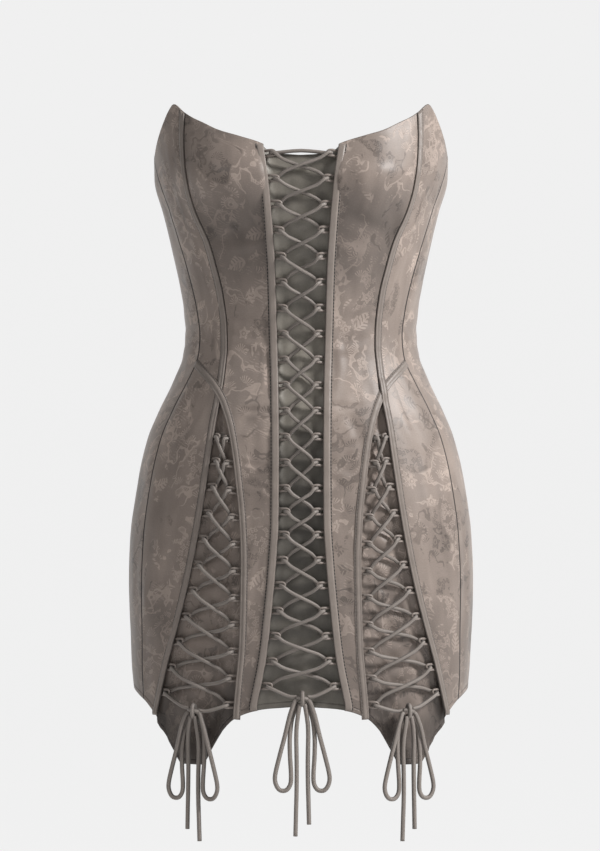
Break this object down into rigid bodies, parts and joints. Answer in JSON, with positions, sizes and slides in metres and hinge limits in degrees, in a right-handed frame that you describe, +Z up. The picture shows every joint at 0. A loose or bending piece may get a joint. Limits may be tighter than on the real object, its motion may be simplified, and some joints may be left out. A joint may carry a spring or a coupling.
{
  "type": "corset dress",
  "caption": "Strapless corset mini dress in worn form, laced down the front and over both hips, with bow-tied lace ends.",
  "frame": {"origin": "the middle of the waist, where the dress is narrowest, inside the wearer", "axes": "+Z up the body to the bust, -Y out of the laced front, +X to the right as seen from the front"},
  "size_m": [0.3438, 0.2471, 0.7201],
  "materials": {
    "satin": "taupe grey satin jacquard",
    "inset_satin": "plain grey satin, gathered",
    "trim": "taupe satin, stitched over bones",
    "lace": "round satin cord"
  },
  "bodies": {
    "root": {"centre_front_left": "satin", "centre_front_right": "satin", "side_front_left": "satin", "side_front_right": "satin", "side_panel_left": "satin", "side_panel_right": "satin", "back_panel_left": "satin", "back_panel_right": "satin", "hip_gusset_left": "satin", "hip_gusset_right": "satin", "modesty_panel": "inset_satin", "centre_channel_left": "trim", "centre_channel_right": "trim", "princess_channel_left": "trim", "princess_channel_right": "trim", "hip_channel_lower_left": "trim", "hip_channel_lower_right": "trim", "hip_channel_upper_left": "trim", "hip_channel_upper_right": "trim", "centre_loops_left": "trim", "centre_loops_right": "trim", "hip_inner_loops_left": "trim", "hip_inner_loops_right": "trim", "hip_outer_loops_left": "trim", "hip_outer_loops_right": "trim", "centre_lace": "lace", "hip_lace_left": "lace", "hip_lace_right": "lace", "centre_knot": "lace", "centre_ear_left": "lace", "centre_ear_right": "lace", "centre_tail_left": "lace", "centre_tail_right": "lace", "hip_left_knot": "lace", "hip_left_ear_left": "lace", "hip_left_ear_right": "lace", "hip_left_tail_left": "lace", "hip_left_tail_right": "lace", "hip_right_knot": "lace", "hip_right_ear_left": "lace", "hip_right_ear_right": "lace", "hip_right_tail_left": "lace", "hip_right_tail_right": "lace"}
  },
  "joints": []
}
